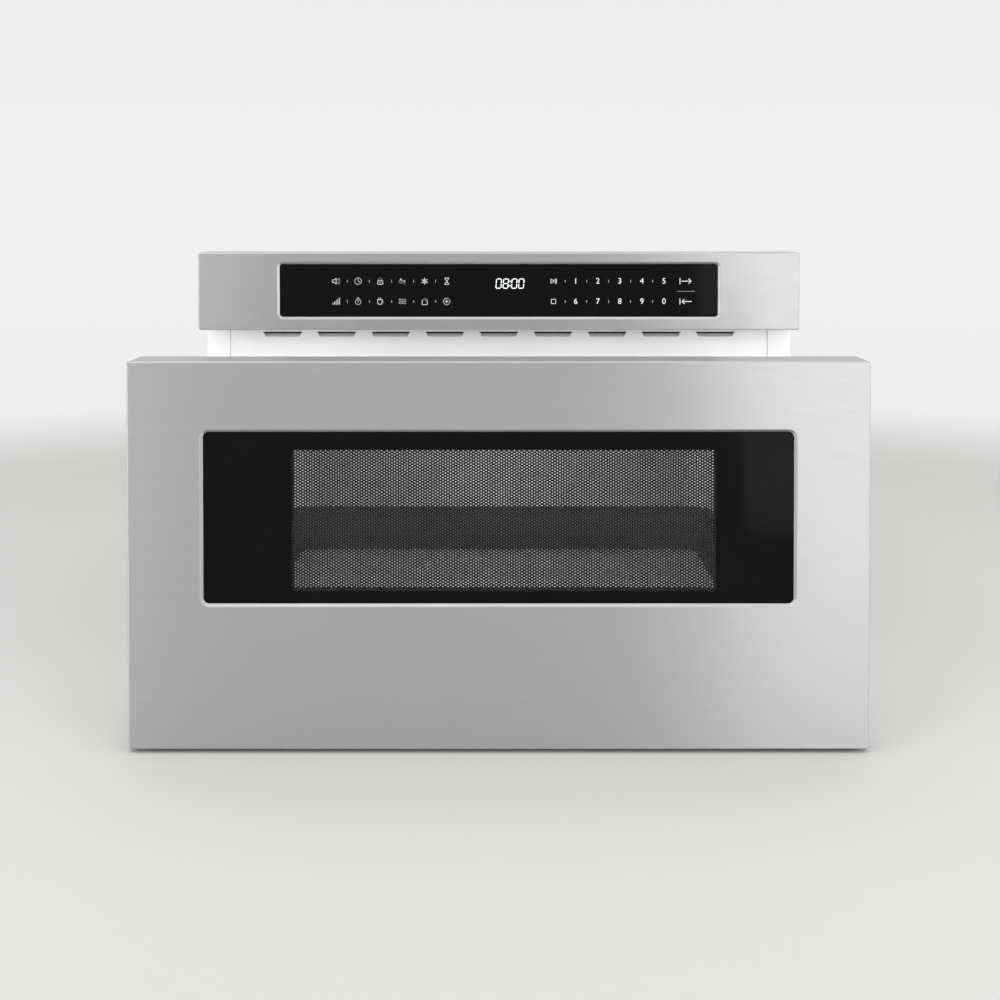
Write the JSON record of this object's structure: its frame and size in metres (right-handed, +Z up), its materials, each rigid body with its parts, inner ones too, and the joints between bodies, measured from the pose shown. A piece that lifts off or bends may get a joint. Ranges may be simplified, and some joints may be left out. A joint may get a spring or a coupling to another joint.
{
  "type": "microwave drawer",
  "caption": "Built-in microwave oven drawer: stainless front with a window on telescopic rails, a touch panel above, a rack drive, and the microwave feed, fan and boards inside a steel casing.",
  "frame": {"origin": "centre of the base pan's underside, where the casing stands on the cabinet shelf", "axes": "+Z up; -Y is the way the drawer opens, towards the user; +X to the right seen from the front"},
  "size_m": [0.606, 0.8977, 0.4024],
  "materials": {
    "brushed_stainless": "brushed horizontally",
    "zinc_steel": "zinc coated sheet",
    "rail_steel": "bright zinc plated",
    "white_paint": "smooth white enamel",
    "grey_enamel": "smooth grey enamel",
    "black_glass": "black printed tempered glass",
    "clear_glass": "clear",
    "screen_steel": "perforated sheet",
    "glazed_tray": "glazed ceramic glass, opaque",
    "black_plastic": "moulded",
    "grey_plastic": "moulded",
    "circuit_board": "solder resist",
    "motor_steel": "varnished laminations and cans",
    "copper_winding": "varnished wire",
    "mica_sheet": "pressed mica"
  },
  "bodies": {
    "casing": {"base_pan": "zinc_steel", "chassis_cover": "zinc_steel", "rear_panel": "zinc_steel", "cord_gland": "black_plastic", "face_plate": "white_paint", "left_mounting_flange": "white_paint", "right_mounting_flange": "white_paint", "control_fascia": "brushed_stainless", "control_glass": "black_glass", "display_module": "black_plastic", "control_board": "circuit_board", "control_housing": "black_plastic", "cavity_shell": "white_paint", "stirrer_housing": "zinc_steel", "stirrer_cover": "mica_sheet", "stirrer_motor": "zinc_steel", "waveguide": "zinc_steel", "magnetron": "zinc_steel", "fan_shroud": "grey_plastic", "fan_motor": "motor_steel", "air_duct": "grey_plastic", "exhaust_duct": "black_plastic", "left_rail_outer": "rail_steel", "right_rail_outer": "rail_steel", "drive_gearbox": "black_plastic", "drive_motor": "motor_steel", "rack_guide": "grey_plastic", "transformer_core": "motor_steel", "transformer_winding": "copper_winding", "hv_capacitor": "zinc_steel", "hv_diode": "black_plastic", "board_tray": "grey_plastic", "power_board": "circuit_board", "filter_board": "circuit_board", "lamp_housing": "zinc_steel", "lamp_bulb": "clear_glass", "left_switch_holder": "zinc_steel", "right_switch_holder": "zinc_steel", "primary_switch": "black_plastic", "secondary_switch": "black_plastic"},
    "drawer": {"drawer_skin": "brushed_stainless", "window_glass": "black_glass", "window_screen": "screen_steel", "door_frame": "white_paint", "inner_glass": "clear_glass", "choke_cover": "grey_plastic", "drawer_pan": "grey_enamel", "ceramic_tray": "glazed_tray", "left_rail_inner": "rail_steel", "right_rail_inner": "rail_steel", "drive_rack": "black_plastic", "left_latch_striker": "black_plastic", "right_latch_striker": "black_plastic"},
    "left_rail_slider": {"left_rail_middle": "rail_steel"},
    "right_rail_slider": {"right_rail_middle": "rail_steel"},
    "pinion": {"drive_pinion": "grey_plastic"},
    "stirrer": {"stirrer_blade": "zinc_steel"},
    "fan": {"fan_wheel": "grey_plastic"},
    "primary_plunger": {"primary_switch_plunger": "grey_plastic"},
    "secondary_plunger": {"secondary_switch_plunger": "grey_plastic"}
  },
  "joints": [
    {"name": "drawer_slide", "type": "slide", "parent": "casing", "child": "drawer", "axis": [0, -1, 0], "range_m": [-0.3, 0.09]},
    {"name": "left_rail_slide", "type": "slide", "parent": "casing", "child": "left_rail_slider", "axis": [0, -1, 0], "range_m": [-0.15, 0.045]},
    {"name": "right_rail_slide", "type": "slide", "parent": "casing", "child": "right_rail_slider", "axis": [0, -1, 0], "range_m": [-0.15, 0.045]},
    {"name": "pinion_spin", "type": "hinge", "parent": "casing", "child": "pinion", "pos_m": [0.018, -0.22715, 0.035], "axis": [0, 0, 1], "range_deg": [-955, 286.6]},
    {"name": "stirrer_spin", "type": "hinge", "parent": "casing", "child": "stirrer", "pos_m": [0, -0.05515, 0.262], "axis": [0, 0, 1], "continuous": true},
    {"name": "fan_spin", "type": "hinge", "parent": "casing", "child": "fan", "pos_m": [0.152, 0.07, 0.312], "axis": [0, 1, 0], "continuous": true},
    {"name": "primary_switch_press", "type": "slide", "parent": "casing", "child": "primary_plunger", "axis": [0, 1, 0], "range_m": [0, 0.0018], "stiffness_N_per_m": 800},
    {"name": "secondary_switch_press", "type": "slide", "parent": "casing", "child": "secondary_plunger", "axis": [0, 1, 0], "range_m": [0, 0.0018], "stiffness_N_per_m": 800}
  ],
  "couplings": [
    {"joint": "left_rail_slide", "follows": "drawer_slide", "ratio": 0.5},
    {"joint": "right_rail_slide", "follows": "drawer_slide", "ratio": 0.5},
    {"joint": "pinion_spin", "follows": "drawer_slide", "rad_per_m": 55.556}
  ]
}
